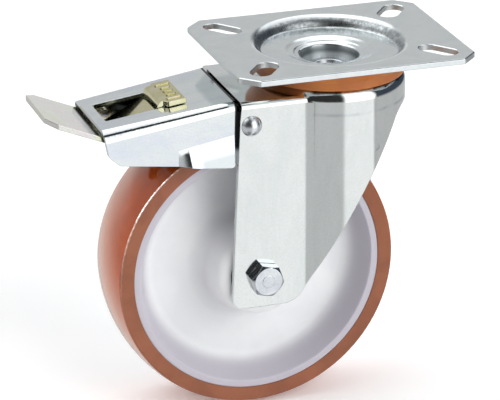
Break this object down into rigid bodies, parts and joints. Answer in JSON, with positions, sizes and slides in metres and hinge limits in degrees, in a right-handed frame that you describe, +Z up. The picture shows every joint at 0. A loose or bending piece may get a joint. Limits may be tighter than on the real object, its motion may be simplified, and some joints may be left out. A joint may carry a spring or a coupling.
{
  "type": "swivel castor",
  "caption": "Swivel plate castor with a polyurethane-tyred wheel and a foot-operated total brake that locks both the wheel and the swivel.",
  "frame": {"origin": "swivel axis on the top plane of the plate", "axes": "+Z up out of the plate along the swivel axis, +X along the plate's long side away from the brake, the wheel trails to -X at rest"},
  "size_m": [0.183, 0.084, 0.158],
  "materials": {
    "zinc_plate": "bright zinc plated",
    "bare_steel": "ground and hardened",
    "yellow_zinc": "yellow passivated",
    "seal_plastic": "moulded, satin",
    "black_plastic": "moulded, matt",
    "pad_rubber": "matt",
    "white_polyamide": "moulded, satin",
    "polyurethane": "cast, glossy tread and matt flanks"
  },
  "bodies": {
    "mount": {"top_plate": "zinc_plate", "kingpin": "zinc_plate", "lower_race_cup": "bare_steel", "swivel_lock_disc": "bare_steel"},
    "fork": {"fork": "zinc_plate", "dust_seal": "seal_plastic", "upper_balls": "bare_steel", "lower_balls": "bare_steel", "brake_housing": "zinc_plate", "cross_rivet": "zinc_plate", "pedal_pivots": "bare_steel", "return_spring": "bare_steel", "axle_bolt": "zinc_plate", "axle_nut": "zinc_plate", "axle_sleeve": "zinc_plate", "spacer_washers": "zinc_plate", "bearing_inner_rings": "bare_steel"},
    "wheel": {"tyre": "polyurethane", "wheel_centre": "white_polyamide", "bearing_outer_rings": "bare_steel", "bearing_balls": "bare_steel", "bearing_seals": "black_plastic"},
    "pedal": {"brake_pedal": "yellow_zinc"},
    "brake_arm": {"brake_arm": "zinc_plate", "brake_pad": "pad_rubber"}
  },
  "joints": [
    {"name": "swivel", "type": "hinge", "parent": "mount", "child": "fork", "pos_m": [0, 0, 0], "axis": [0, 0, 1], "continuous": true},
    {"name": "wheel_spin", "type": "hinge", "parent": "fork", "child": "wheel", "pos_m": [-0.0382, 0, -0.09445], "axis": [0, 1, 0], "continuous": true},
    {"name": "brake_pedal", "type": "hinge", "parent": "fork", "child": "pedal", "pos_m": [-0.0955, 0, -0.0278], "axis": [0, -1, 0], "range_deg": [0, 24]},
    {"name": "brake_arm", "type": "hinge", "parent": "fork", "child": "brake_arm", "pos_m": [-0.0441, 0, -0.025], "axis": [0, -1, 0], "range_deg": [0, 4]}
  ],
  "couplings": [
    {"joint": "brake_arm", "follows": "brake_pedal", "ratio": 0.16667}
  ]
}
